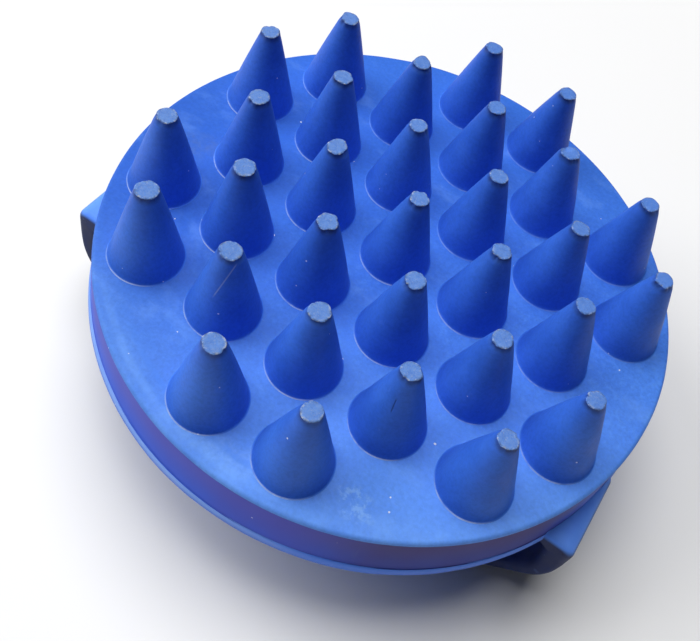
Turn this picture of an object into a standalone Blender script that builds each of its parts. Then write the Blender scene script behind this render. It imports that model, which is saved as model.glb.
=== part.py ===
"""Round rubber massage curry comb: a shallow disc with stout cones on its face
and a hand strap across its back.

Metres, +Z up. The comb lies with its cones up, standing on the flat middle of
its strap. X runs along the strap, -Y is the wrist side and +Y the finger side.
The origin is under the middle of the disc, at the strap's lowest face.
"""

import math

import bpy
import bmesh
from mathutils import Vector

# ---------------------------------------------------------------- dimensions
FACE_R = 0.0638          # radius of the face, at its rounded edge
WALL_R_LOW = 0.0643      # the side wall drafts outwards to this at its foot
LIP_R = 0.0650           # the lip round the foot of the wall
LIP_IN_R = 0.0580        # its inner edge, round the mouth of the recess
WALL_T = 0.0042          # thickness of the side wall
PLATE_T = 0.0050         # thickness of the face plate over the palm
PLATE_SEAT = 0.0004      # its outer ring is this much thicker, where the wall meets it
PALM_R = 0.0592          # radius of the flat face over the palm
FACE_EDGE = 0.0009       # rounding of the face's edge
LIP_H = 0.0026           # height of the lip
BODY_H = 0.0146          # face to underside of the lip
SEAM = 0.0003            # clearance where two pieces meet

STRAP_DEPTH = 0.0260     # underside of the lip to the strap's lowest face
FACE_Z = STRAP_DEPTH + BODY_H
LIP_Z = STRAP_DEPTH

CONE_H = 0.0205          # height of a cone over the face
CONE_R = 0.0078          # at its foot
CONE_TIP_R = 0.0021      # flat tip
CONE_PITCH = 0.0200      # centre to centre, on a hexagonal lattice
CONE_ROWS = (2, 5, 6, 5, 6, 5, 2)   # in each row, from the wrist side; rows run along X

STRAP_Y = -0.0180        # the strap lies this far to the wrist side
STRAP_X = 0.0650         # half the strap's outer width over the hand
STRAP_T = 0.0044
STRAP_END_W = 0.0110     # half width at its two ends
STRAP_MID_W = 0.0240     # half width over the back of the hand
PAD_X = 0.0220           # half length of the strap's flat middle
STRAP_POWER = 4.0        # squareness of the strap's arch
STRAP_FLAT = 0.00025     # depth shaved off the arch, which leaves a flat middle
ANCHOR_LOW = LIP_Z - 0.0047   # underside of each anchor
LEAN_Z = ANCHOR_LOW - 0.0003   # height of the axis that the strap leans about
STRAP_TOP = LEAN_Z - 0.0006    # where the strap's outer face starts, under the anchors
LEAN_RELIEF = math.radians(23.0)

RING_STEPS = 72
CONE_SIDES = 24

# ---------------------------------------------------------------- scene setup
for old in list(bpy.data.objects):
    bpy.data.objects.remove(old, do_unlink=True)

scene = bpy.context.scene
scene.unit_settings.system = "METRIC"
scene.unit_settings.scale_length = 1.0


def new_collection(name, hidden=False):
    made = bpy.data.collections.new(name)
    scene.collection.children.link(made)
    made.hide_render = hidden
    return made


comb = new_collection("curry_comb")
cutters = new_collection("cutters", hidden=True)


def rubber(name, color, roughness=0.72):
    """A matt moulded rubber of one colour."""
    material = bpy.data.materials.new(name)
    material.use_nodes = True
    shader = material.node_tree.nodes["Principled BSDF"]
    shader.inputs["Base Color"].default_value = (*color, 1.0)
    shader.inputs["Roughness"].default_value = roughness
    shader.inputs["Metallic"].default_value = 0.0
    material.diffuse_color = (*color, 1.0)
    return material


def smooth(mesh, degrees=40.0):
    mesh.shade_smooth()
    mesh.set_sharp_from_angle(angle=math.radians(degrees))


def add(name, mesh, material, location=(0.0, 0.0, 0.0), rotation_z=0.0, where=None):
    obj = bpy.data.objects.new(name, mesh)
    obj.location = location
    obj.rotation_euler = (0.0, 0.0, rotation_z)
    (where or comb).objects.link(obj)
    if material is not None:
        obj.data.materials.clear()
        obj.data.materials.append(material)
    return obj


def turned(name, profile, material, closed):
    """A ring or disc: the (radius, height) profile turned about Z."""
    mesh = bpy.data.meshes.new(name)
    points = [(r, 0.0, z) for r, z in profile]
    edges = [(i, i + 1) for i in range(len(points) - 1)]
    if closed:
        edges.append((len(points) - 1, 0))
    mesh.from_pydata(points, edges, [])
    obj = add(name, mesh, material)
    screw = obj.modifiers.new("turn", "SCREW")
    screw.axis = "Z"
    screw.angle = 2 * math.pi
    screw.steps = RING_STEPS
    screw.render_steps = RING_STEPS
    screw.use_merge_vertices = True
    screw.merge_threshold = 0.00005
    screw.use_smooth_shade = True
    return obj


def arc(cx, cz, radius, start, end, steps):
    """Points on a round edge, from the start angle to the end angle, in degrees."""
    for k in range(steps + 1):
        a = math.radians(start + (end - start) * k / steps)
        yield cx + radius * math.cos(a), cz + radius * math.sin(a)


# ---------------------------------------------------------------- the disc
plate_low = FACE_Z - PLATE_T
plate_profile = [(0.0, FACE_Z)]
plate_profile += list(arc(FACE_R - FACE_EDGE, FACE_Z - FACE_EDGE, FACE_EDGE, 90, 0, 3))
plate_profile += [
    (FACE_R + 0.0001, plate_low - PLATE_SEAT),
    (PALM_R + 0.0004, plate_low - PLATE_SEAT),
    (PALM_R, plate_low),
    (0.0, plate_low),
]
face_plate = turned(
    "face_plate", plate_profile, rubber("face_plate_blue", (0.070, 0.235, 0.800)), False
)

wall_top = plate_low - PLATE_SEAT - SEAM
wall_low = LIP_Z + LIP_H + SEAM / 2
side_wall = turned(
    "side_wall",
    [
        (FACE_R + 0.0001, wall_top),
        (WALL_R_LOW, wall_low),
        (WALL_R_LOW - WALL_T, wall_low),
        (WALL_R_LOW - WALL_T, wall_top),
    ],
    rubber("side_wall_blue", (0.045, 0.130, 0.520), 0.75),
    True,
)

lip_top = LIP_Z + LIP_H - SEAM / 2
lip_round = 0.0008
base_lip = turned(
    "base_lip",
    [(LIP_IN_R, lip_top)]
    + list(arc(LIP_R - lip_round, lip_top - lip_round, lip_round, 90, 0, 2))
    + list(arc(LIP_R - lip_round, LIP_Z + lip_round, lip_round, 0, -90, 2))
    + [(LIP_IN_R, LIP_Z)],
    rubber("base_lip_blue", (0.060, 0.190, 0.700)),
    True,
)

# ---------------------------------------------------------------- the cones
# Each cone is one shared, tapered shape, with a flat tip and a sharp foot.
cone_mesh = bpy.data.meshes.new("cone")
shape = bmesh.new()
bmesh.ops.create_cone(
    shape,
    cap_ends=True,
    cap_tris=False,
    segments=CONE_SIDES,
    radius1=CONE_R,
    radius2=CONE_TIP_R,
    depth=CONE_H - SEAM,
)
shape.to_mesh(cone_mesh)
shape.free()
smooth(cone_mesh)

row_gap = CONE_PITCH * math.sqrt(3) / 2
cone_number = 0
for row, count in enumerate(CONE_ROWS):
    for place in range(count):
        cone_number += 1
        name = f"cone_{cone_number:02d}"
        add(
            name,
            cone_mesh.copy(),
            rubber(name + "_blue", (0.040, 0.125, 0.560), 0.7),
            (
                (place - (count - 1) / 2) * CONE_PITCH,
                (row - (len(CONE_ROWS) - 1) / 2) * row_gap,
                FACE_Z + SEAM + (CONE_H - SEAM) / 2,
            ),
        )


# ---------------------------------------------------------------- the strap
def arch_height(x):
    """Height of the arch's outer face at x, in from its upright ends."""
    share = min(1.0, abs(x) / STRAP_X)
    drop = (1.0 - share**STRAP_POWER) ** (1.0 / STRAP_POWER)
    depth = STRAP_DEPTH + STRAP_FLAT
    return max(0.0, depth * (1.0 - drop) - STRAP_FLAT)


def arch_points(count):
    """The right half of the arch's outer face as (x, z), from its end to the middle."""
    points = []
    for k in range(count + 1):
        t = math.pi / 2 * k / count
        x = STRAP_X * math.cos(t) ** (2.0 / STRAP_POWER)
        points.append((x, arch_height(x)))
    return points


def below(points, top):
    """The part of the line under this height, starting exactly on it."""
    kept = []
    for (x0, z0), (x1, z1) in zip(points, points[1:]):
        if z0 > top >= z1:
            share = (z0 - top) / (z0 - z1)
            kept.append((x0 + share * (x1 - x0), top))
        if z1 < top:
            kept.append((x1, z1))
    return kept


def at_length(points, wanted):
    """The point at this distance along the line."""
    for (x0, z0), (x1, z1) in zip(points, points[1:]):
        step = math.hypot(x1 - x0, z1 - z0)
        if wanted <= step or (x1, z1) == points[-1]:
            share = min(1.0, wanted / step)
            return x0 + share * (x1 - x0), z0 + share * (z1 - z0)
        wanted -= step


def strap_half_width(x):
    """Narrow at the ends and broad over the back of the hand."""
    share = max(0.0, min(1.0, (0.0620 - abs(x)) / (0.0620 - PAD_X - 0.001)))
    share = share * share * (3 - 2 * share)
    return STRAP_END_W + share * (STRAP_MID_W - STRAP_END_W)


STRAP_LONG = 26   # steps along each arm
STRAP_WIDE = 6    # steps across

arm_line = [p for p in below(arch_points(400), STRAP_TOP) if p[0] > PAD_X + SEAM]
arm_line.append((PAD_X + SEAM, arch_height(PAD_X + SEAM)))
arm_length = sum(math.dist(a, b) for a, b in zip(arm_line, arm_line[1:]))


def strap_arm(side):
    """One arm of the strap, from its end under an anchor to the middle pad."""
    shape = bmesh.new()
    rows = []
    for step in range(STRAP_LONG + 1):
        row = []
        for j in range(STRAP_WIDE + 1):
            across = 2.0 * j / STRAP_WIDE - 1.0
            # The end slopes away on both sides of the axis, which lets the strap lean.
            start = abs(across) * STRAP_END_W * math.tan(LEAN_RELIEF)
            share = step / STRAP_LONG
            x, z = at_length(arm_line, start + share * (arm_length - start))
            y = across * strap_half_width(x)
            row.append(shape.verts.new((side * x, y, z - LEAN_Z)))
        rows.append(row)
    for a, b in zip(rows, rows[1:]):
        for j in range(STRAP_WIDE):
            ring = (a[j], b[j], b[j + 1], a[j + 1])
            shape.faces.new(ring if side > 0 else ring[::-1])
    mesh = bpy.data.meshes.new("strap_arm")
    shape.to_mesh(mesh)
    shape.free()
    smooth(mesh, 50)
    return mesh


strap_blue = (0.030, 0.080, 0.360)
for side, name in ((1, "strap_arm_right"), (-1, "strap_arm_left")):
    arm = add(
        name, strap_arm(side), rubber(name + "_blue", strap_blue, 0.78), (0.0, STRAP_Y, LEAN_Z)
    )
    shell = arm.modifiers.new("thickness", "SOLIDIFY")
    shell.thickness = STRAP_T
    shell.offset = -1.0
    shell.use_even_offset = True

# The broad flat middle of the strap, over the back of the hand.
slab = bpy.data.meshes.new("strap_pad")
shape = bmesh.new()
bmesh.ops.create_cube(shape, size=1.0)
bmesh.ops.scale(
    shape, verts=shape.verts, vec=Vector((2 * PAD_X, 2 * STRAP_MID_W, STRAP_T))
)
bmesh.ops.translate(
    shape, verts=shape.verts, vec=Vector((0.0, 0.0, STRAP_T / 2 - LEAN_Z))
)
shape.to_mesh(slab)
shape.free()
add("strap_pad", slab, rubber("strap_pad_blue", strap_blue, 0.78), (0.0, STRAP_Y, LEAN_Z))

# ---------------------------------------------------------------- the anchors
# Each anchor is the first stretch of the band: it leaves the lip level with its
# top, stands a little proud of the disc, and turns down to meet the strap.
ANCHOR_TOP = LIP_Z + LIP_H
BEND_R = 0.0028


ANCHOR_IN = 0.0545       # how far in under the lip each anchor reaches
FOOT_LOW = LIP_Z - 0.0022   # underside of that part


def anchor_outline():
    outer = STRAP_X
    inner = outer - STRAP_T
    points = [(ANCHOR_IN, ANCHOR_TOP)]
    points += list(arc(outer - BEND_R, ANCHOR_TOP - BEND_R, BEND_R, 90, 0, 4))
    points += [(outer - 0.0002, ANCHOR_LOW), (inner - 0.0002, ANCHOR_LOW)]
    points += list(arc(inner - 0.0015, FOOT_LOW - 0.0012, 0.0012, 0, 90, 3))
    points += [(ANCHOR_IN, FOOT_LOW)]
    return points


keep_off = bpy.data.meshes.new("lip_clearance")
shape = bmesh.new()
bmesh.ops.create_cone(
    shape,
    cap_ends=True,
    cap_tris=False,
    segments=2 * RING_STEPS,
    radius1=LIP_R + SEAM,
    radius2=LIP_R + SEAM,
    depth=0.0300,
)
shape.to_mesh(keep_off)
shape.free()
lip_clearance = add(
    "lip_clearance",
    keep_off,
    None,
    (0.0, 0.0, LIP_Z - SEAM + 0.0150),
    where=cutters,
)
lip_clearance.hide_render = True
lip_clearance.display_type = "WIRE"

for side, name in ((1, "strap_anchor_right"), (-1, "strap_anchor_left")):
    block = bpy.data.meshes.new(name)
    shape = bmesh.new()
    outline = [shape.verts.new((side * x, -STRAP_END_W, z)) for x, z in anchor_outline()]
    face = shape.faces.new(outline)
    moved = bmesh.ops.extrude_face_region(shape, geom=[face])["geom"]
    bmesh.ops.translate(
        shape,
        verts=[v for v in moved if isinstance(v, bmesh.types.BMVert)],
        vec=Vector((0.0, 2 * STRAP_END_W, 0.0)),
    )
    bmesh.ops.recalc_face_normals(shape, faces=shape.faces)
    shape.to_mesh(block)
    shape.free()
    smooth(block, 35)
    anchor = add(
        name,
        block,
        rubber(name + "_blue", (0.065, 0.200, 0.720)),
        (0.0, STRAP_Y, 0.0),
    )
    cut = anchor.modifiers.new("round_the_lip", "BOOLEAN")
    cut.operation = "DIFFERENCE"
    cut.solver = "EXACT"
    cut.object = lip_clearance
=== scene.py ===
"""The looks of a round rubber massage curry comb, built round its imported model.

Row frame, metres: the disc's axis is +Z through the origin, X runs along the
hand strap, -Y is the wrist side, and the strap's flat middle stands on z = 0.
"""

import math

import bmesh
import bpy
import numpy as np
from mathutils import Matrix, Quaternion, Vector, noise


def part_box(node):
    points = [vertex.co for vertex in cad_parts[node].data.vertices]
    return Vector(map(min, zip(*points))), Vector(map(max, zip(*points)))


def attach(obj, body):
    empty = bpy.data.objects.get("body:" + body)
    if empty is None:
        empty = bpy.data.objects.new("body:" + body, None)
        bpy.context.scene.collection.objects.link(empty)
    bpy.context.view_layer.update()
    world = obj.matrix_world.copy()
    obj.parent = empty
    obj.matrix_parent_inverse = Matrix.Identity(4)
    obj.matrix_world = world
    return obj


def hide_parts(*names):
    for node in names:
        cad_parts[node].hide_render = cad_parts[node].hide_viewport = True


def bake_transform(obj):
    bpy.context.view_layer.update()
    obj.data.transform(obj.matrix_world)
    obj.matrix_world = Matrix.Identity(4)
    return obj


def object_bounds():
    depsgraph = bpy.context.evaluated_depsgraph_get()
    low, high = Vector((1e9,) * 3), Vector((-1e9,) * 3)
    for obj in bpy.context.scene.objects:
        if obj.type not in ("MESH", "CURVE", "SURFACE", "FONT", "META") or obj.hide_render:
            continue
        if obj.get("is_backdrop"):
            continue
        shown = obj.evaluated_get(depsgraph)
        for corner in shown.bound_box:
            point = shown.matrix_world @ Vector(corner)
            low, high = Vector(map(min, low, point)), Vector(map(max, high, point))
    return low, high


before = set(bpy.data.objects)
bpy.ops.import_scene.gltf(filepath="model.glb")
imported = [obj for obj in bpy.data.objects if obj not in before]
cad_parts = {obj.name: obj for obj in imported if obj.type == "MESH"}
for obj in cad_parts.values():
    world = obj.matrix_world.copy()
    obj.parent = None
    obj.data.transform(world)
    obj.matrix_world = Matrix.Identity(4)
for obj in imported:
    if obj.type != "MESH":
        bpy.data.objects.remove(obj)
cad_low, cad_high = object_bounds()

MM = 0.001


# ------------------------------------------------------------ what CAD fixes
plate_low, plate_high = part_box("face_plate")
wall_low, wall_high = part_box("side_wall")
lip_low, lip_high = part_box("base_lip")
pad_low, pad_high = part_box("strap_pad")
FACE_Z = plate_high.z               # the face that carries the cones
PALM_Z = plate_low.z + 0.0004       # its underside, over the palm
LIP_LOW = lip_low.z
LIP_TOP = lip_high.z
LIP_R = lip_high.x
FACE_R = plate_high.x - 0.0001
WALL_R = wall_high.x
STRAP_Y = (pad_low.y + pad_high.y) / 2
TOP_Z = cad_high.z

cone_names = sorted(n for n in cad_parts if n.startswith("cone_"))
cone_centre = {}
for cone_name in cone_names:
    low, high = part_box(cone_name)
    cone_centre[cone_name] = ((low.x + high.x) / 2, (low.y + high.y) / 2)
low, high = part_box(cone_names[0])
CONE_R = (high.x - low.x) / 2
CONE_H = TOP_Z - FACE_Z


# ------------------------------------------------------------ camera
camera_data = bpy.data.cameras.new("camera")
camera_data.sensor_width = 36.0
camera_data.lens = 47.11
camera_data.shift_x = -0.02835
camera_data.shift_y = -0.07293
camera_data.clip_start = 0.01
camera_data.clip_end = 20.0
camera = bpy.data.objects.new("camera", camera_data)
bpy.context.scene.collection.objects.link(camera)
camera.location = (0.032056, -0.119418, 0.198607)
camera.rotation_mode = "QUATERNION"
camera.rotation_quaternion = Quaternion((0.900488, 0.314737, -0.007839, 0.300001))
bpy.context.scene.camera = camera


# ------------------------------------------------------------ mesh tools
def fbm(x, y, z, scale, octaves=3):
    """Smooth noise from about -1 to 1, at a point in metres and `scale` cycles a metre."""
    return noise.fractal(Vector((x, y, z)) * scale, 0.9, 2.1, octaves)


def new_object(name, verts, faces, materials, sharp=45.0, face_materials=None):
    mesh = bpy.data.meshes.new(name)
    mesh.from_pydata([tuple(map(float, v)) for v in verts], [], faces)
    for material in materials:
        mesh.materials.append(material)
    if face_materials is not None:
        mesh.polygons.foreach_set("material_index", np.array(face_materials, np.int32))
    mesh.update()
    made = bmesh.new()
    made.from_mesh(mesh)
    bmesh.ops.recalc_face_normals(made, faces=made.faces)
    made.to_mesh(mesh)
    made.free()
    mesh.shade_smooth()
    mesh.set_sharp_from_angle(angle=math.radians(sharp))
    obj = bpy.data.objects.new(name, mesh)
    bpy.context.scene.collection.objects.link(obj)
    return obj


def turned(profile, steps, closed):
    """Vertices and faces of a (radius, z) profile turned about Z, and each face's profile row."""
    verts, rings, faces, rows = [], [], [], []
    for r, z in profile:
        if r < 1e-9:
            rings.append([len(verts)])
            verts.append((0.0, 0.0, z))
            continue
        rings.append(list(range(len(verts), len(verts) + steps)))
        for k in range(steps):
            a = 2 * math.pi * k / steps
            verts.append((r * math.cos(a), r * math.sin(a), z))
    pairs = list(zip(rings, rings[1:]))
    if closed:
        pairs.append((rings[-1], rings[0]))
    for row, (a, b) in enumerate(pairs):
        for k in range(steps):
            m = (k + 1) % steps
            if len(a) == 1 and len(b) == 1:
                continue
            if len(a) == 1:
                faces.append((a[0], b[k], b[m]))
            elif len(b) == 1:
                faces.append((a[k], b[0], a[m]))
            else:
                faces.append((a[k], b[k], b[m], a[m]))
            rows.append(row)
    return np.array(verts, float), faces, rows


def arc(cx, cz, radius, start, end, steps):
    for k in range(steps + 1):
        a = math.radians(start + (end - start) * k / steps)
        yield cx + radius * math.cos(a), cz + radius * math.sin(a)


def line(a, b, steps, last=False):
    for k in range(steps + (1 if last else 0)):
        s = k / steps
        yield a[0] + s * (b[0] - a[0]), a[1] + s * (b[1] - a[1])


# ------------------------------------------------------------ materials
class Nodes:
    """A small helper that wires shader nodes; a socket, a number or a tuple is an input."""

    def __init__(self, name):
        self.material = bpy.data.materials.new(name)
        self.material.use_nodes = True
        self.tree = self.material.node_tree
        self.shader = self.tree.nodes["Principled BSDF"]
        self.coord = self.tree.nodes.new("ShaderNodeTexCoord").outputs["Object"]
        self.normal = self.tree.nodes.new("ShaderNodeNewGeometry").outputs["Normal"]

    def put(self, socket, value):
        if isinstance(value, bpy.types.NodeSocket):
            self.tree.links.new(value, socket)
        elif isinstance(value, (tuple, list)) and len(value) == 3 and len(socket.default_value) == 4:
            socket.default_value = (*value, 1.0)
        else:
            socket.default_value = value

    def math(self, operation, a, b=0.0, c=0.0, clamp=False):
        node = self.tree.nodes.new("ShaderNodeMath")
        node.operation = operation
        node.use_clamp = clamp
        for socket, value in zip(node.inputs, (a, b, c)):
            self.put(socket, value)
        return node.outputs[0]

    def vector(self, operation, a, b=(0.0, 0.0, 0.0), scale=1.0):
        node = self.tree.nodes.new("ShaderNodeVectorMath")
        node.operation = operation
        self.put(node.inputs[0], a)
        self.put(node.inputs[1], b)
        if operation == "SCALE":
            self.put(node.inputs[3], scale)
        return node.outputs[1 if operation in ("LENGTH", "DISTANCE", "DOT_PRODUCT") else 0]

    def axis(self, vector, which):
        node = self.tree.nodes.new("ShaderNodeSeparateXYZ")
        self.put(node.inputs[0], vector)
        return node.outputs[which]

    def noise(self, scale, detail=3.0, roughness=0.55, stretch=None, shift=0.0):
        node = self.tree.nodes.new("ShaderNodeTexNoise")
        place = self.coord
        if stretch is not None or shift:
            place = self.vector("MULTIPLY", place, stretch or (1.0, 1.0, 1.0))
            place = self.vector("ADD", place, (shift, shift * 0.7, shift * 1.3))
        self.put(node.inputs["Vector"], place)
        node.inputs["Scale"].default_value = scale
        node.inputs["Detail"].default_value = detail
        node.inputs["Roughness"].default_value = roughness
        return node.outputs["Fac"]

    def ramp(self, value, low, high, out_low=0.0, out_high=1.0, smooth=True):
        node = self.tree.nodes.new("ShaderNodeMapRange")
        node.interpolation_type = "SMOOTHSTEP" if smooth else "LINEAR"
        node.clamp = True
        for socket, v in zip(node.inputs, (value, low, high, out_low, out_high)):
            self.put(socket, v)
        return node.outputs[0]

    def mix(self, factor, a, b, blend="MIX"):
        node = self.tree.nodes.new("ShaderNodeMix")
        node.data_type = "RGBA"
        node.blend_type = blend
        node.clamp_factor = True
        self.put(node.inputs[0], factor)
        self.put(node.inputs[6], a)
        self.put(node.inputs[7], b)
        return node.outputs[2]

    def stored(self, name):
        node = self.tree.nodes.new("ShaderNodeAttribute")
        node.attribute_type = "GEOMETRY"
        node.attribute_name = name
        return node.outputs["Fac"]

    def specks(self, cell, radius, share, shift=0.0):
        """1 inside a scatter of small round specks: one chance in `share` for each cell, in metres."""
        node = self.tree.nodes.new("ShaderNodeTexVoronoi")
        node.feature = "F1"
        place = self.coord if not shift else self.vector("ADD", self.coord, (shift, shift, shift))
        self.put(node.inputs["Vector"], place)
        node.inputs["Scale"].default_value = 1.0 / cell
        node.inputs["Randomness"].default_value = 1.0
        pick = self.math("GREATER_THAN", self.axis(node.outputs["Color"], 0), 1.0 - share)
        size = self.math("MULTIPLY_ADD", self.axis(node.outputs["Color"], 1), 0.7, 0.4)
        edge = self.math("MULTIPLY", size, radius / cell)
        inside = self.math("LESS_THAN", node.outputs["Distance"], edge)
        return self.math("MULTIPLY", inside, pick)

    def spot(self, x, y, rx, ry, turn=0.0, power=1.0):
        """A soft ellipse on the face: 1 at its middle, 0 outside."""
        p = self.vector("SUBTRACT", self.coord, (x, y, 0.0))
        c, s = math.cos(turn), math.sin(turn)
        u = self.vector("DOT_PRODUCT", p, (c / rx, s / rx, 0.0))
        v = self.vector("DOT_PRODUCT", p, (-s / ry, c / ry, 0.0))
        d = self.math("ADD", self.math("MULTIPLY", u, u), self.math("MULTIPLY", v, v))
        return self.ramp(self.math("POWER", d, power), 1.0, 0.0)

    def scratch(self, a, b, facing, half):
        """1 along a thin scratch from a to b, cut straight into the surface against `facing`."""
        a, b, facing = Vector(a), Vector(b), Vector(facing).normalized()
        u = (b - a) - facing * (b - a).dot(facing)
        length = u.length
        u.normalize()
        p = self.vector("SUBTRACT", self.coord, tuple(a))
        off = self.math("ABSOLUTE", self.vector("DOT_PRODUCT", p, tuple(u.cross(facing))))
        along = self.vector("DOT_PRODUCT", p, tuple(u / length))
        taper = self.math("MULTIPLY", self.ramp(along, 0.0, 0.12), self.ramp(along, 1.0, 0.80))
        near = self.math("LESS_THAN", self.vector("LENGTH", p), length * 1.6)
        body = self.ramp(off, half, half * 0.30)
        return self.math("MULTIPLY", self.math("MULTIPLY", body, taper), near)

    def bump(self, height, strength, distance, under=None):
        node = self.tree.nodes.new("ShaderNodeBump")
        node.inputs["Strength"].default_value = strength
        node.inputs["Distance"].default_value = distance
        self.put(node.inputs["Height"], height)
        if under is not None:
            self.put(node.inputs["Normal"], under)
        return node.outputs["Normal"]

    def finish(self, color, roughness, normal, specular=0.4, sheen=0.0):
        self.put(self.shader.inputs["Base Color"], color)
        self.put(self.shader.inputs["Roughness"], roughness)
        self.put(self.shader.inputs["Normal"], normal)
        self.shader.inputs["Metallic"].default_value = 0.0
        self.shader.inputs["Specular IOR Level"].default_value = specular
        self.shader.inputs["Sheen Weight"].default_value = sheen
        self.shader.inputs["Sheen Roughness"].default_value = 0.5
        return self.material


DUST = (0.80, 0.82, 0.85)


def face_material():
    n = Nodes("face_rubber")
    broad = n.noise(32.0, 3.0, 0.5)
    patch = n.noise(110.0, 4.0, 0.6, shift=0.31)
    fine = n.noise(1400.0, 3.0, 0.6)
    grain = n.noise(5200.0, 2.0, 0.7, shift=0.17)
    color = n.mix(n.ramp(broad, 0.30, 0.72), (0.054, 0.205, 0.800), (0.076, 0.258, 0.870))
    color = n.mix(n.ramp(patch, 0.42, 0.80, 0.0, 0.22), color, (0.105, 0.310, 0.900))
    color = n.mix(n.ramp(fine, 0.35, 0.70, 0.0, 0.34), color, (0.044, 0.155, 0.620))
    middling = n.noise(620.0, 4.0, 0.65, shift=0.77)
    color = n.mix(n.ramp(middling, 0.48, 0.72, 0.0, 0.34), color, (0.125, 0.350, 0.920))
    color = n.mix(n.ramp(middling, 0.46, 0.28, 0.0, 0.28), color, (0.042, 0.155, 0.640))
    # Paler towards the wrist side, a painted sheen over the chalky bloom; deeper towards the back, painted shade.
    far_painted_shade = n.ramp(n.vector("DOT_PRODUCT", n.coord, (-0.76, 0.65, 0.0)), -0.052, 0.042)
    color = n.mix(n.math("MULTIPLY", far_painted_shade, 0.78), color, (0.026, 0.140, 0.640))
    near = n.ramp(n.vector("DOT_PRODUCT", n.coord, (0.35, -0.937, 0.0)), 0.004, 0.056)
    color = n.mix(n.math("MULTIPLY", near, 0.44), color, (0.150, 0.360, 0.930))
    # Painted shade: the face is darkened towards the left.
    left = n.ramp(n.vector("DOT_PRODUCT", n.coord, (-0.80, -0.60, 0.0)), 0.000, 0.056)
    color = n.mix(left, color, (0.73, 0.785, 0.85), "MULTIPLY")
    # Pale bloom rubbed along the wrist side's edge, where the comb is handled.
    x, y = n.axis(n.coord, 0), n.axis(n.coord, 1)
    radius = n.math("SQRT", n.math("ADD", n.math("MULTIPLY", x, x), n.math("MULTIPLY", y, y)))
    rim = n.ramp(radius, 0.0560, 0.0625)
    wrist = n.ramp(n.vector("DOT_PRODUCT", n.coord, (0.10, -0.995, 0.0)), 0.020, 0.060)
    rubbed = n.math("MULTIPLY", n.math("MULTIPLY", rim, wrist), n.ramp(n.noise(160.0, 4.0, 0.65, shift=0.5), 0.30, 0.75, 0.25, 1.0))
    color = n.mix(n.math("MULTIPLY", rubbed, 0.40), color, (0.180, 0.400, 0.920))
    # A dull smudge between two cones, and a pale scuff by the near edge.
    dull = n.math("MULTIPLY", n.spot(-0.0517, -0.0049, 0.0095, 0.0050, 0.6), n.ramp(n.noise(420.0, 4.0, 0.6), 0.30, 0.72))
    color = n.mix(n.math("MULTIPLY", dull, 0.45), color, (0.085, 0.165, 0.420))
    scuff = n.math("MULTIPLY", n.spot(0.0239, -0.0521, 0.0060, 0.0042, -0.3), n.ramp(n.noise(520.0, 4.0, 0.7, shift=0.9), 0.46, 0.62))
    color = n.mix(n.math("MULTIPLY", scuff, 0.50), color, (0.270, 0.520, 0.950))
    worn = n.math("MULTIPLY", n.spot(0.0010, -0.0585, 0.0190, 0.0035, 0.10), n.ramp(n.noise(300.0, 4.0, 0.7, shift=1.9), 0.35, 0.70))
    color = n.mix(n.math("MULTIPLY", worn, 0.40), color, (0.240, 0.470, 0.940))
    mottle = n.ramp(n.noise(1300.0, 5.0, 0.7, shift=3.7), 0.32, 0.64, 0.68, 1.0)
    color = n.mix(0.36, color, mottle, "MULTIPLY")
    smear = n.noise(80.0, 5.0, 0.6, stretch=(1.0, 1.7, 1.0), shift=5.9)
    color = n.mix(n.ramp(smear, 0.52, 0.72, 0.0, 0.24), color, (0.180, 0.400, 0.930))
    color = n.mix(n.ramp(smear, 0.44, 0.28, 0.0, 0.18), color, (0.046, 0.165, 0.660))
    sector = n.ramp(n.vector("DOT_PRODUCT", n.coord, (-0.20, -0.980, 0.0)), 0.0505, 0.0600)
    broken = n.ramp(n.noise(210.0, 4.0, 0.65, shift=8.3), 0.32, 0.62, 0.25, 1.0)
    # Painted shade: a darker ring where a groove would lie in the front sector; the mesh has no groove there.
    groove_painted_shade = n.ramp(n.math("ABSOLUTE", n.math("SUBTRACT", radius, 0.0583)), 0.0010, 0.0002)
    color = n.mix(n.math("MULTIPLY", n.math("MULTIPLY", groove_painted_shade, sector), 0.45), color, (0.060, 0.215, 0.760))
    pale_line = n.ramp(n.math("ABSOLUTE", n.math("SUBTRACT", radius, 0.0612)), 0.0013, 0.0003)
    color = n.mix(n.math("MULTIPLY", n.math("MULTIPLY", n.math("MULTIPLY", pale_line, sector), broken), 0.22), color, (0.220, 0.470, 0.960))
    # Fine scratches in all directions, and dust.
    hair = n.noise(240.0, 2.0, 0.5, stretch=(1.0, 14.0, 1.0), shift=0.11)
    color = n.mix(n.ramp(hair, 0.70, 0.78, 0.0, 0.16), color, (0.260, 0.460, 0.920))
    specks = n.math("MAXIMUM", n.specks(0.0013, 0.00019, 0.012), n.specks(0.0021, 0.00030, 0.006, 0.37))
    for sx, sy, sr in ((-38.43, 17.9, 0.30), (-55.68, 29.12, 0.26), (-3.55, 47.71, 0.26), (4.64, 55.17, 0.30),
                       (4.63, -22.78, 0.34), (29.84, -32.66, 0.36), (57.3, 14.63, 0.28), (-34.76, -15.58, 0.30),
                       (-31.94, -18.47, 0.24)):
        specks = n.math("MAXIMUM", specks, n.ramp(n.spot(sx * MM, sy * MM, sr * MM, sr * MM * 0.8), 0.2, 0.5))
    color = n.mix(n.math("MULTIPLY", specks, 0.85), color, DUST)
    rough = n.ramp(patch, 0.25, 0.8, 0.56, 0.72)
    normal = n.bump(fine, 0.22, 0.00006)
    normal = n.bump(grain, 0.30, 0.00003, normal)
    normal = n.bump(specks, 0.5, 0.00008, normal)
    return n.finish(color, rough, normal, 0.20, 0.0)


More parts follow.
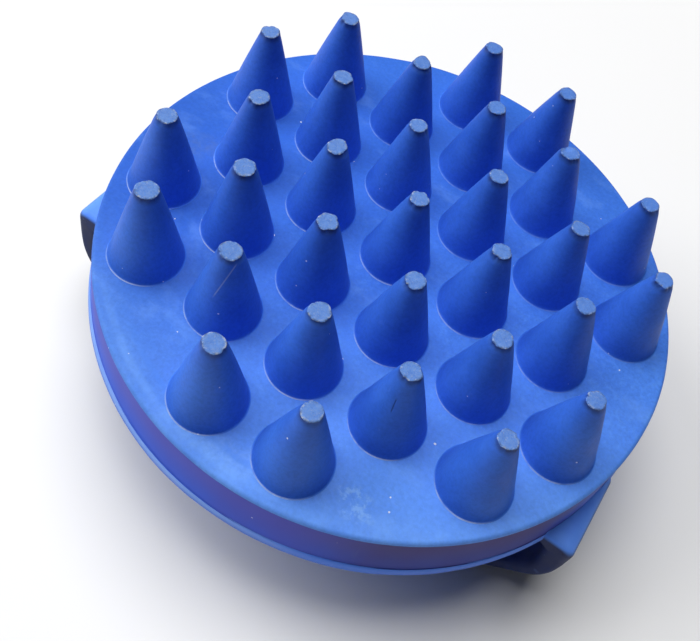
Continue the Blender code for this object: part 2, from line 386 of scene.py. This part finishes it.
def cone_material():
    n = Nodes("cone_rubber")
    broad = n.noise(70.0, 3.0, 0.55)
    patch = n.noise(260.0, 4.0, 0.6, shift=0.23)
    fine = n.noise(1600.0, 3.0, 0.6)
    z = n.axis(n.coord, 2)
    color = n.mix(n.ramp(broad, 0.30, 0.70), (0.032, 0.136, 0.640), (0.046, 0.176, 0.740))
    color = n.mix(n.ramp(patch, 0.45, 0.80, 0.0, 0.35), color, (0.055, 0.200, 0.760))
    mottle = n.ramp(n.noise(1300.0, 5.0, 0.7, shift=4.7), 0.32, 0.64, 0.66, 1.0)
    color = n.mix(0.40, color, mottle, "MULTIPLY")
    # The upper third is handled and worn to a duller blue; just under the tip is a painted shadow, darkest on the flank
    # facing the wrist side.
    worn = n.math("MULTIPLY", n.ramp(z, FACE_Z + 0.0110, FACE_Z + 0.0200), n.ramp(n.noise(330.0, 4.0, 0.6, shift=1.3), 0.25, 0.75, 0.45, 1.0))
    color = n.mix(n.math("MULTIPLY", worn, 0.30), color, (0.028, 0.085, 0.400))
    neck_painted_shadow = n.math("MULTIPLY", n.ramp(z, FACE_Z + 0.0186, FACE_Z + 0.0202), n.ramp(n.noise(560.0, 3.0, 0.6, shift=2.3), 0.25, 0.70, 0.45, 1.0))
    shade = n.ramp(n.vector("DOT_PRODUCT", n.normal, (0.35, -0.94, 0.0)), -0.40, 0.60, 0.25, 1.0)
    color = n.mix(n.math("MULTIPLY", n.math("MULTIPLY", neck_painted_shadow, shade), 0.80), color, (0.016, 0.018, 0.040))
    scuffs = n.noise(520.0, 4.0, 0.7, stretch=(1.0, 1.0, 0.35), shift=3.1)
    color = n.mix(n.ramp(scuffs, 0.62, 0.80, 0.0, 0.30), color, (0.110, 0.250, 0.760))
    # One long pale scratch and one short dark cut, on two cones near the wrist side.
    wide = n.scratch((-0.01779, -0.03560, 0.05997), (-0.01980, -0.03970, 0.05048), (0.28, -0.72, 0.45), 0.00019)
    color = n.mix(n.math("MULTIPLY", wide, 0.55), color, (0.330, 0.430, 0.720))
    cut = n.scratch((0.02003, -0.03806, 0.05600), (0.02040, -0.03930, 0.05250), (0.10, -0.80, 0.55), 0.00016)
    color = n.mix(n.math("MULTIPLY", cut, 0.60), color, (0.008, 0.018, 0.100))
    specks = n.specks(0.0014, 0.00018, 0.030, 0.11)
    color = n.mix(n.math("MULTIPLY", specks, 0.70), color, DUST)
    rough = n.ramp(patch, 0.25, 0.8, 0.50, 0.66)
    normal = n.bump(fine, 0.22, 0.00006)
    normal = n.bump(n.noise(5200.0, 2.0, 0.7), 0.25, 0.00003, normal)
    normal = n.bump(n.math("SUBTRACT", 1.0, cut), 0.8, 0.00015, normal)
    return n.finish(color, rough, normal, 0.20, 0.0)


def tip_material():
    n = Nodes("worn_tip")
    patch = n.noise(900.0, 4.0, 0.65)
    fine = n.noise(3600.0, 3.0, 0.7, shift=0.4)
    color = n.mix(n.ramp(patch, 0.30, 0.70), (0.070, 0.185, 0.570), (0.108, 0.255, 0.670))
    color = n.mix(n.ramp(fine, 0.35, 0.70, 0.0, 0.60), color, (0.190, 0.300, 0.560))
    color = n.mix(n.ramp(n.noise(1700.0, 3.0, 0.7, shift=2.2), 0.58, 0.75, 0.0, 0.55), color, (0.420, 0.470, 0.560))
    color = n.mix(n.ramp(n.noise(1300.0, 3.0, 0.7, shift=4.2), 0.62, 0.78, 0.0, 0.60), color, (0.070, 0.110, 0.260))
    fresher = n.ramp(n.vector("DOT_PRODUCT", n.coord, (0.64, 0.77, 0.0)), -0.020, 0.052)
    color = n.mix(n.math("MULTIPLY", fresher, 0.50), color, (0.045, 0.165, 0.600))
    # The cropped edge is frayed, pale and dusty in places and dark between them.
    rim = n.stored("rim")
    frayed = n.math("MULTIPLY", rim, n.ramp(n.noise(1500.0, 3.0, 0.7, shift=6.1), 0.50, 0.62))
    frayed = n.math("MULTIPLY", frayed, n.math("MULTIPLY_ADD", fresher, -0.45, 1.0))
    color = n.mix(n.math("MULTIPLY", frayed, 0.75), color, (0.520, 0.560, 0.600))
    grimy = n.math("MULTIPLY", rim, n.ramp(n.noise(1100.0, 3.0, 0.7, shift=7.3), 0.55, 0.44))
    color = n.mix(n.math("MULTIPLY", grimy, 0.62), color, (0.040, 0.062, 0.130))
    rough = n.ramp(fine, 0.2, 0.8, 0.74, 0.90)
    normal = n.bump(fine, 0.8, 0.00012)
    normal = n.bump(patch, 0.5, 0.00015, normal)
    return n.finish(color, rough, normal, 0.25, 0.05)


def foot_material():
    """The little step round each cone's foot, which holds dust."""
    n = Nodes("cone_foot")
    patch = n.noise(380.0, 3.0, 0.6)
    fine = n.noise(2200.0, 3.0, 0.7)
    side = n.vector("DOT_PRODUCT", n.normal, (-0.08, -0.997, 0.0))
    dusty = n.math("MULTIPLY", n.ramp(side, 0.15, 0.60, 0.0, 1.0), n.ramp(patch, 0.34, 0.58, 0.35, 1.0))
    dust = n.mix(n.ramp(n.vector("DOT_PRODUCT", n.normal, (0.50, -0.866, 0.0)), 0.30, 0.95), (0.400, 0.480, 0.660), (0.720, 0.740, 0.820))
    near = n.ramp(n.vector("DOT_PRODUCT", n.coord, (-0.35, -0.937, 0.0)), -0.035, 0.030, 0.30, 1.0)
    color = n.mix(n.math("MULTIPLY", n.math("MULTIPLY", dusty, near), 0.90), (0.046, 0.180, 0.700), dust)
    color = n.mix(n.math("MULTIPLY", n.specks(0.0011, 0.00024, 0.06), 0.9), color, DUST)
    normal = n.bump(fine, 0.5, 0.00008)
    return n.finish(color, n.ramp(fine, 0.2, 0.8, 0.62, 0.82), normal, 0.20, 0.0)


def wall_material():
    n = Nodes("wall_rubber")
    patch = n.noise(45.0, 4.0, 0.6, stretch=(1.0, 1.0, 0.5))
    fine = n.noise(1500.0, 3.0, 0.6)
    z = n.axis(n.coord, 2)
    rise = n.ramp(z, LIP_TOP + 0.0005, FACE_Z - 0.0015)
    # Painted shade, with a painted violet of light reflected off the hand.
    painted_shade_violet = n.mix(rise, (0.016, 0.038, 0.320), (0.046, 0.036, 0.205))
    painted_shade_violet = n.mix(n.ramp(patch, 0.40, 0.75, 0.0, 0.55), painted_shade_violet, (0.082, 0.047, 0.165))
    # Painted light: a paler blue for the lit front left.
    pale = n.mix(rise, (0.020, 0.098, 0.700), (0.066, 0.084, 0.540))
    pale = n.mix(n.ramp(patch, 0.42, 0.75, 0.0, 0.50), pale, (0.092, 0.088, 0.480))
    painted_light_side = n.ramp(n.vector("DOT_PRODUCT", n.coord, (-0.342, -0.940, 0.0)), 0.038, 0.056)
    # Along the wrist side, painted shade with a painted violet of light off the hand; towards the front left, painted
    # light; plain blue round the rest.
    clean = n.mix(rise, (0.022, 0.105, 0.660), (0.036, 0.108, 0.560))
    clean = n.mix(n.ramp(patch, 0.42, 0.75, 0.0, 0.45), clean, (0.060, 0.120, 0.560))
    painted_shade_zone = n.ramp(n.vector("DOT_PRODUCT", n.coord, (0.080, -0.997, 0.0)), 0.0184, 0.0391)
    color = n.mix(painted_light_side, n.mix(painted_shade_zone, clean, painted_shade_violet), pale)
    # The face's edge is rubbed a little paler, and painted shade darkens the crease along the foot.
    edge = n.math("MULTIPLY", n.ramp(z, FACE_Z - 0.0016, FACE_Z - 0.0006), n.ramp(n.noise(240.0, 3.0, 0.6, shift=0.8), 0.35, 0.70))
    color = n.mix(n.math("MULTIPLY", edge, 0.45), color, (0.080, 0.130, 0.360))
    foot = n.ramp(z, LIP_TOP + 0.0010, LIP_TOP + 0.0001)
    color = n.mix(n.math("MULTIPLY", foot, 0.15), color, (0.012, 0.028, 0.170))
    streaks = n.noise(330.0, 3.0, 0.6, stretch=(1.0, 1.0, 0.12), shift=0.6)
    color = n.mix(n.ramp(streaks, 0.62, 0.80, 0.0, 0.22), color, (0.100, 0.130, 0.330))
    specks = n.specks(0.0014, 0.00018, 0.010, 0.21)
    color = n.mix(n.math("MULTIPLY", specks, 0.7), color, DUST)
    rough = n.ramp(patch, 0.3, 0.8, 0.58, 0.76)
    normal = n.bump(fine, 0.25, 0.00006)
    normal = n.bump(streaks, 0.12, 0.00010, normal)
    return n.finish(color, rough, normal, 0.20, 0.02)


def lip_material():
    n = Nodes("lip_rubber")
    patch = n.noise(120.0, 4.0, 0.6)
    fine = n.noise(1500.0, 3.0, 0.6)
    up = n.axis(n.normal, 2)
    painted_light_side = n.ramp(n.vector("DOT_PRODUCT", n.coord, (-0.342, -0.940, 0.0)), 0.048, 0.062)
    # Painted light: upward faces take a much paler blue than the sides, and paler still towards the front left.
    color = n.mix(n.ramp(up, -0.05, 0.38), (0.050, 0.160, 0.720), n.mix(painted_light_side, (0.088, 0.245, 0.910), (0.215, 0.390, 0.900)))
    color = n.mix(n.ramp(patch, 0.42, 0.78, 0.0, 0.30), color, (0.120, 0.280, 0.860))
    nicks = n.ramp(n.noise(520.0, 3.0, 0.7, shift=0.9), 0.62, 0.74)
    color = n.mix(n.math("MULTIPLY", nicks, 0.30), color, (0.230, 0.340, 0.640))
    specks = n.specks(0.0014, 0.00020, 0.02, 0.21)
    color = n.mix(n.math("MULTIPLY", specks, 0.75), color, DUST)
    normal = n.bump(fine, 0.25, 0.00006)
    return n.finish(color, n.ramp(patch, 0.3, 0.8, 0.56, 0.74), normal, 0.35, 0.0)


def strap_material():
    n = Nodes("strap_painted_shade_rubber")
    broad = n.noise(38.0, 3.0, 0.55)
    patch = n.noise(180.0, 4.0, 0.6, shift=0.4)
    fine = n.noise(1500.0, 3.0, 0.6)
    z = n.axis(n.coord, 2)
    up = n.axis(n.normal, 2)
    # Painted shade: the band is near-black navy all over; only its upward faces at the top of the legs take the comb's
    # blue.
    color = n.mix(n.ramp(broad, 0.30, 0.70), (0.008, 0.015, 0.070), (0.012, 0.026, 0.115))
    color = n.mix(n.ramp(patch, 0.45, 0.80, 0.0, 0.35), color, (0.024, 0.050, 0.210))
    top = n.math("MULTIPLY", n.ramp(z, 0.0225, 0.0280), n.ramp(up, 0.10, 0.75))
    color = n.mix(top, color, n.mix(n.ramp(patch, 0.3, 0.7), (0.100, 0.280, 0.940), (0.125, 0.320, 0.960)))
    specks = n.specks(0.0014, 0.00018, 0.012, 0.41)
    color = n.mix(n.math("MULTIPLY", specks, 0.7), color, DUST)
    hair = n.noise(260.0, 2.0, 0.5, stretch=(1.0, 12.0, 1.0), shift=0.61)
    color = n.mix(n.ramp(hair, 0.68, 0.78, 0.0, 0.20), color, (0.120, 0.200, 0.520))
    normal = n.bump(fine, 0.28, 0.00007)
    return n.finish(color, n.ramp(patch, 0.3, 0.8, 0.56, 0.76), normal, 0.25, 0.0)


face_rubber = face_material()
cone_rubber = cone_material()
worn_tip = tip_material()
cone_foot = foot_material()
wall_rubber = wall_material()
lip_rubber = lip_material()
strap_painted_shade_rubber = strap_material()


# ------------------------------------------------------------ the face plate
# A moulded sheet: gently uneven, with a soft rounded edge.
edge = 0.0009
profile = [(0.0, FACE_Z)]
profile += list(line((0.0012, FACE_Z), (FACE_R - edge, FACE_Z), 62))
profile += list(arc(FACE_R - edge, FACE_Z - edge, edge, 90, 0, 8))
profile += [(FACE_R - 0.0006, FACE_Z - edge - 0.0004), (FACE_R - 0.0012, PALM_Z + 0.0010)]
profile += [(0.0598, PALM_Z + 0.0003)]
profile += list(arc(0.0585, PALM_Z + 0.0012, 0.0012, 0, -90, 5))
profile += list(line((0.0575, PALM_Z), (0.0012, PALM_Z), 24, True))
profile += [(0.0, PALM_Z)]
verts, faces, rows = turned(profile, 288, False)
for v in verts:
    r = math.hypot(v[0], v[1])
    if v[2] > FACE_Z - 0.0015:
        # nothing rises over the CAD face by more than a hair
        v[2] += 0.00006 * fbm(v[0], v[1], 0.3, 38.0) - 0.00004 * (r / FACE_R) ** 6
        if r > FACE_R - 0.0012:
            k = 1.0 + 0.0009 * fbm(v[0], v[1], 1.7, 60.0) - 0.0008
            v[0] *= k
            v[1] *= k
    elif r < 0.058:
        v[2] += 0.00008 * fbm(v[0], v[1], 5.3, 45.0)
plate = new_object("comb_face", verts, faces, [face_rubber], 60.0)
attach(plate, "pad")
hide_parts("face_plate")


# ------------------------------------------------------------ the side wall
wall_top = FACE_Z - edge + 0.0001
wall_foot = LIP_TOP - 0.0002
outer_low = WALL_R
fillet = 0.00018
profile = [(FACE_R - 0.0016, wall_top - 0.0001), (FACE_R - 0.0003, wall_top)]
profile += list(line((FACE_R - 0.00002, wall_top - 0.0002), (outer_low, wall_foot + fillet + 0.0002), 30))
profile += list(arc(outer_low + fillet, wall_foot + fillet + 0.0001, fillet, 180, 262, 6))
profile += [(outer_low + 0.0001, wall_foot - 0.0008), (WALL_R - 0.0042, wall_foot - 0.0008)]
profile += list(line((WALL_R - 0.0042, wall_foot), (WALL_R - 0.0042, PALM_Z - 0.0010), 12))
profile += [(WALL_R - 0.0045, PALM_Z + 0.0006), (FACE_R - 0.0020, wall_top - 0.0006)]
verts, faces, rows = turned(profile, 360, True)
for v in verts:
    if math.hypot(v[0], v[1]) > FACE_R - 0.0008 and v[2] > wall_foot + 0.0008:
        k = 1.0 + 0.0010 * fbm(v[0], v[1], v[2] * 1.5, 42.0) - 0.0007
        v[0] *= k
        v[1] *= k
wall = new_object("comb_wall", verts, faces, [wall_rubber], 50.0)
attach(wall, "pad")
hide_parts("side_wall")


# ------------------------------------------------------------ the lip
soft = 0.0007
inner = 0.0580
profile = [(inner + 0.0006, LIP_TOP)]
# The outer side swells outward and down, from the wall's foot to the lip's widest.
swell, widest = 0.0006, LIP_LOW + 0.0008
profile += list(line((inner + 0.0010, LIP_TOP), (LIP_R - swell, LIP_TOP), 10))
for k in range(13):
    a = math.pi / 2 * k / 12
    profile.append((LIP_R - swell + swell * math.sin(a) ** 1.15, widest + (LIP_TOP - widest) * math.cos(a) ** 1.15))
profile += list(arc(LIP_R - soft, LIP_LOW + soft, soft, 0, -90, 7))
profile += list(line((LIP_R - soft - 0.0006, LIP_LOW), (inner + soft, LIP_LOW), 8))
profile += list(arc(inner + soft, LIP_LOW + soft, soft, -90, -180, 7))
profile += [(inner, LIP_TOP - 0.0006)]
verts, faces, rows = turned(profile, 360, True)
for v in verts:
    r = math.hypot(v[0], v[1])
    w = fbm(v[0], v[1], 2.1, 30.0)
    v[2] += 0.00010 * w - 0.00003
    if r > LIP_R - 0.0012:
        k = 1.0 + 0.0016 * fbm(v[0], v[1], 6.1, 55.0) - 0.0014
        v[0] *= k
        v[1] *= k
lip = new_object("comb_lip", verts, faces, [lip_rubber], 50.0)
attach(lip, "pad")
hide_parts("base_lip")


# ------------------------------------------------------------ the cones
# How each tip stands off its cone's axis, in mm along X and Y, and its radius.
# A moulded rubber cone that has been pressed on a horse for years stands a
# little askew, and its tip is cropped to a size of its own.
TIPS = (
    (-0.19, -0.22, 2.17), (0.42, -0.04, 2.00),
    (-0.33, 0.28, 2.36), (-0.06, -0.30, 2.22), (0.07, -0.35, 2.16), (-0.31, 0.13, 2.02), (0.03, -0.26, 2.00),
    (0.00, 0.02, 2.16), (-0.35, -0.08, 2.32), (-0.36, -0.02, 2.12), (0.09, -0.10, 2.07), (-0.36, -0.24, 2.08),
    (-0.41, -0.19, 1.95),
    (0.09, -0.05, 2.19), (0.00, 0.06, 2.12), (0.32, 0.15, 1.98), (-0.10, 0.23, 1.96), (-0.79, 0.08, 2.02),
    (-0.19, 0.43, 2.01), (-0.51, 0.49, 2.11), (-0.46, 0.13, 2.02), (0.03, -0.06, 2.06), (0.18, -0.37, 2.00),
    (-0.27, -0.22, 1.98),
    (-0.13, 0.30, 2.10), (-0.04, 0.35, 2.02), (-0.02, 0.31, 2.05), (-0.91, 0.25, 2.20), (-0.48, -0.63, 2.05),
    (-0.03, 0.24, 2.05), (0.47, -0.43, 2.02),
)
AROUND = 112
FLANK = 30


def cone_piece(index, name):
    cx, cy = cone_centre[name]
    dx, dy, tip = (v * MM for v in TIPS[index])
    rng = np.random.default_rng(4100 + index)
    top = CONE_H
    # (radius, height over the face, which part): foot step, flank, rim, flat tip
    profile = [(CONE_R + 0.00026, -0.00045, 2), (CONE_R + 0.00024, 0.00000, 2), (CONE_R + 0.00015, 0.00007, 2),
               (CONE_R + 0.00003, 0.00010, 2)]
    for k in range(FLANK + 1):
        s = (k / FLANK) ** 0.92
        z = 0.00020 + s * (top - 0.00075 - 0.00020)
        share = z / top
        r = CONE_R + (tip - CONE_R) * share
        r -= 0.00006 * math.exp(-(((z - (top - 0.0011)) / 0.0005) ** 2))
        r += 0.00010 * math.sin(math.pi * share)
        profile.append((r, z, 0))
    profile += [(tip + 0.00003, top - 0.00040, 0), (tip + 0.00003, top - 0.00020, 0), (tip - 0.00006, top - 0.00008, 1)]
    for s in (0.90, 0.78, 0.64, 0.50, 0.36, 0.22, 0.10):
        profile.append((tip * s, top - 0.00005, 1))
    profile.append((0.0, top - 0.00005, 1))
    verts, faces, rows = turned([(r, z) for r, z, _ in profile], AROUND, False)
    part = [profile[row + 1][2] for row in rows]
    tilt_x, tilt_y = rng.normal(0.0, 0.035, 2)
    phases = rng.uniform(0, 2 * math.pi, 6)
    weights = rng.normal(0.0, 1.0, 6) * (0.026, 0.018, 0.013, 0.011, 0.009, 0.008)
    chip_at, chip_deep = rng.uniform(0, 2 * math.pi, 3), rng.uniform(0.0, 0.10, 3)
    torn = name == "cone_28"
    for v in verts:
        r, a, z = math.hypot(v[0], v[1]), math.atan2(v[1], v[0]), v[2]
        share = min(1.0, max(0.0, z / top))
        rimward = max(0.0, min(1.0, (z - (top - 0.0014)) / 0.0008))
        out = sum(w * math.cos((m + 2) * a + p) for m, (w, p) in enumerate(zip(weights, phases)))
        out += 0.022 * fbm(cx * 40 + math.cos(a) * 2.4, cy * 40 + math.sin(a) * 2.4, index * 3.7, 1.0, 4)
        for at, deep in zip(chip_at, chip_deep):
            off = math.atan2(math.sin(a - at), math.cos(a - at))
            out -= deep * math.exp(-((off / 0.16) ** 2))
        k = 1.0 + rimward * out * 1.15
        # The moulding as a whole is never a perfect cone.
        k += 0.006 * fbm(cx + v[0] * 0.6, cy + v[1] * 0.6, z * 0.4 + index, 110.0)
        v[0] *= k
        v[1] *= k
        if z > top - 0.0012:
            v[2] -= abs(tilt_x) * tip + abs(tilt_y) * tip - (tilt_x * v[0] + tilt_y * v[1])
            v[2] += 0.00005 * fbm(v[0] + cx, v[1] + cy, index * 1.3, 1100.0) - 0.00003
            if torn:
                v[2] -= 0.0009 * math.exp(-(((v[0] + 0.0013) ** 2 + (v[1] - 0.0008) ** 2) / 0.0011 ** 2))
        lean = share ** 1.5
        v[0] += cx + dx * lean
        v[1] += cy + dy * lean
        v[2] = min(v[2], top - 0.00001) + FACE_Z
    made = new_object(f"{name}_moulded", verts, faces, [cone_rubber, worn_tip, cone_foot], 42.0, part)
    # How near each point is to the cropped edge, for the tip's material.
    count = len(profile)
    by_ring = {count - 11: 0.6, count - 10: 1.0, count - 9: 1.0, count - 8: 0.55, count - 7: 0.12}
    rim = made.data.attributes.new("rim", "FLOAT", "POINT")
    rim.data.foreach_set("value", [by_ring.get(k // AROUND, 0.0) for k in range(len(verts))])
    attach(made, "pad")
    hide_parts(name)
    return made


for index, cone_name in enumerate(cone_names):
    cone_piece(index, cone_name)


# ------------------------------------------------------------ the strap
# One moulded band from lip to lip: level with the lip's top at each end, down
# both sides of the hand, and broad and flat over the back of it.
STRAP_X = 0.0650
DEPTH = LIP_LOW
POWER = 4.0
FLAT = 0.00025
THICK = 0.0044
END_W, MID_W, PAD_X = 0.0110, 0.0240, 0.0220
BAND_TOP = LIP_LOW + 0.0026
BEND = 0.0028


def arch_height(x):
    share = min(1.0, abs(x) / STRAP_X)
    drop = (1.0 - share ** POWER) ** (1.0 / POWER)
    return max(0.0, (DEPTH + FLAT) * (1.0 - drop) - FLAT)


def outer_line():
    """The band's outer face, from inside the lip round to the middle, as (x, z)."""
    points = list(line((0.0552, BAND_TOP), (STRAP_X - BEND, BAND_TOP), 10))
    points += list(arc(STRAP_X - BEND, BAND_TOP - BEND, BEND, 90, 0, 12))
    for k in range(1, 700):
        t = math.pi / 2 * k / 699
        x = STRAP_X * math.cos(t) ** (2.0 / POWER)
        z = arch_height(x)
        if z < BAND_TOP - BEND - 0.0006:
            points.append((x, z))
    return points


def resample(points, count):
    steps = [0.0]
    for a, b in zip(points, points[1:]):
        steps.append(steps[-1] + math.dist(a, b))
    wanted = np.linspace(0.0, steps[-1], count)
    return np.stack([np.interp(wanted, steps, [p[0] for p in points]),
                     np.interp(wanted, steps, [p[1] for p in points])], 1)


half = resample(outer_line(), 150)
path = np.concatenate([half, half[::-1][1:] * (-1.0, 1.0)])
tangent = np.gradient(path, axis=0)
tangent /= np.linalg.norm(tangent, axis=1)[:, None]
# smooth the direction, so that the inner face doesn't crease at the bend
kernel = np.hanning(9)
kernel /= kernel.sum()
padded = np.pad(tangent, ((4, 4), (0, 0)), mode="edge")
tangent = np.stack([np.convolve(padded[:, k], kernel, mode="valid") for k in (0, 1)], 1)
tangent /= np.linalg.norm(tangent, axis=1)[:, None]
inward = np.stack([tangent[:, 1], -tangent[:, 0]], 1)


def half_width(x, z):
    if z > 0.0262:
        return END_W
    share = max(0.0, min(1.0, (0.0620 - abs(x)) / (0.0620 - PAD_X - 0.001)))
    share = share * share * (3 - 2 * share)
    return END_W + share * (MID_W - END_W)


def thickness(x, z):
    # thicker where the leg meets the lip, as a moulded corner is
    if z > BAND_TOP - 0.0002:
        grow = max(0.0, min(1.0, (abs(x) - 0.0552) / 0.0058))
        return 0.0030 + 0.0026 * grow * grow * (3 - 2 * grow)
    grow = max(0.0, min(1.0, (z - 0.0120) / 0.0140))
    return THICK + 0.0014 * grow * grow * (3 - 2 * grow)


def section(w, t, corner, around=8, flat=14):
    """A rounded rectangle, as (across, depth): depth 0 is the outer face."""
    points = []
    corner = min(corner, t / 2 - 0.0002)
    points += list(line((-w + corner, 0.0), (w - corner, 0.0), flat))
    points += [(w - corner + corner * math.sin(a), corner - corner * math.cos(a)) for a in np.linspace(0, math.pi / 2, around + 1)]
    points += [(w - corner + corner * math.cos(a), t - corner + corner * math.sin(a)) for a in np.linspace(0, math.pi / 2, around + 1)]
    points += list(line((w - corner, t), (-w + corner, t), flat))[1:]
    points += [(-w + corner - corner * math.sin(a), t - corner + corner * math.cos(a)) for a in np.linspace(0, math.pi / 2, around + 1)]
    points += [(-w + corner - corner * math.cos(a), corner - corner * math.sin(a)) for a in np.linspace(0, math.pi / 2, around + 1)][:-1]
    return points


verts, rings = [], []
for (x, z), (nx, nz) in zip(path, inward):
    ring = []
    w, t = half_width(x, z), thickness(x, z)
    for across, depth in section(w, t, 0.0016):
        ring.append(len(verts))
        wobble = 1.0 + 0.004 * fbm(x * 0.7, across, z * 0.7, 60.0)
        verts.append([x + nx * depth, STRAP_Y + across * wobble, z + nz * depth])
    rings.append(ring)
faces = []
for a, b in zip(rings, rings[1:]):
    for k in range(len(a)):
        m = (k + 1) % len(a)
        faces.append((a[k], a[m], b[m], b[k]))
faces.append(tuple(rings[0]))
faces.append(tuple(reversed(rings[-1])))
for v in verts:
    v[2] = max(0.00002, v[2])
band = new_object("hand_strap_band", verts, faces, [strap_painted_shade_rubber], 50.0)
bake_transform(band)
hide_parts("strap_anchor_right", "strap_anchor_left", "strap_arm_right", "strap_arm_left", "strap_pad")


# ------------------------------------------------------------ floor and light
floor_material = Nodes("pale_floor")
floor_tone = floor_material.noise(3.0, 2.0, 0.5)
floor_color = floor_material.mix(floor_material.ramp(floor_tone, 0.3, 0.7), (0.88, 0.88, 0.88), (0.91, 0.91, 0.91))
floor_material.finish(floor_color, 0.85, floor_material.bump(floor_tone, 0.02, 0.001), 0.2)
# It stays as pale far away, out of the lamps' reach.
away = floor_material.ramp(floor_material.vector("LENGTH", floor_material.coord), 0.30, 1.60, 0.0, 0.80)
floor_material.put(floor_material.shader.inputs["Emission Color"], (1.0, 1.0, 1.0))
floor_material.put(floor_material.shader.inputs["Emission Strength"], away)
size = 4.0
floor = new_object(
    "floor", [(-size, -size, 0.0), (size, -size, 0.0), (size, size, 0.0), (-size, size, 0.0)],
    [(0, 1, 2, 3)], [floor_material.material],
)
floor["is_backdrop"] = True

world = bpy.data.worlds.new("studio")
bpy.context.scene.world = world
world.use_nodes = True
# The room is dim, so that the lamps model the cones, but it looks pale where it shows.
room = world.node_tree.nodes["Background"]
room.inputs["Color"].default_value = (0.92, 0.95, 1.0, 1.0)
room.inputs["Strength"].default_value = 0.05
backdrop = world.node_tree.nodes.new("ShaderNodeBackground")
backdrop.inputs["Color"].default_value = (0.86, 0.87, 0.88, 1.0)
backdrop.inputs["Strength"].default_value = 1.0
seen = world.node_tree.nodes.new("ShaderNodeLightPath")
either = world.node_tree.nodes.new("ShaderNodeMixShader")
world.node_tree.links.new(seen.outputs["Is Camera Ray"], either.inputs[0])
world.node_tree.links.new(room.outputs[0], either.inputs[1])
world.node_tree.links.new(backdrop.outputs[0], either.inputs[2])
world.node_tree.links.new(either.outputs[0], world.node_tree.nodes["World Output"].inputs["Surface"])


def area(name, location, target, size, power, color=(1.0, 1.0, 1.0)):
    light = bpy.data.lights.new(name, "AREA")
    light.shape = "DISK"
    light.size = size
    light.energy = power
    light.color = color
    lamp = bpy.data.objects.new(name, light)
    bpy.context.scene.collection.objects.link(lamp)
    lamp.location = location
    lamp.rotation_mode = "QUATERNION"
    lamp.rotation_quaternion = (Vector(target) - Vector(location)).to_track_quat("-Z", "Y")
    return lamp


area("key", (-1.58, -0.34, 1.18), (0.0, 0.0, 0.04), 1.60, 28.0)
area("top", (-0.42, 0.34, 1.95), (0.0, 0.0, 0.04), 1.60, 33.5)

bpy.context.scene.view_settings.view_transform = "Standard"
bpy.context.scene.view_settings.look = "None"
bpy.context.scene.view_settings.exposure = 0.0
bpy.context.scene.view_settings.gamma = 1.0

low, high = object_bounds()
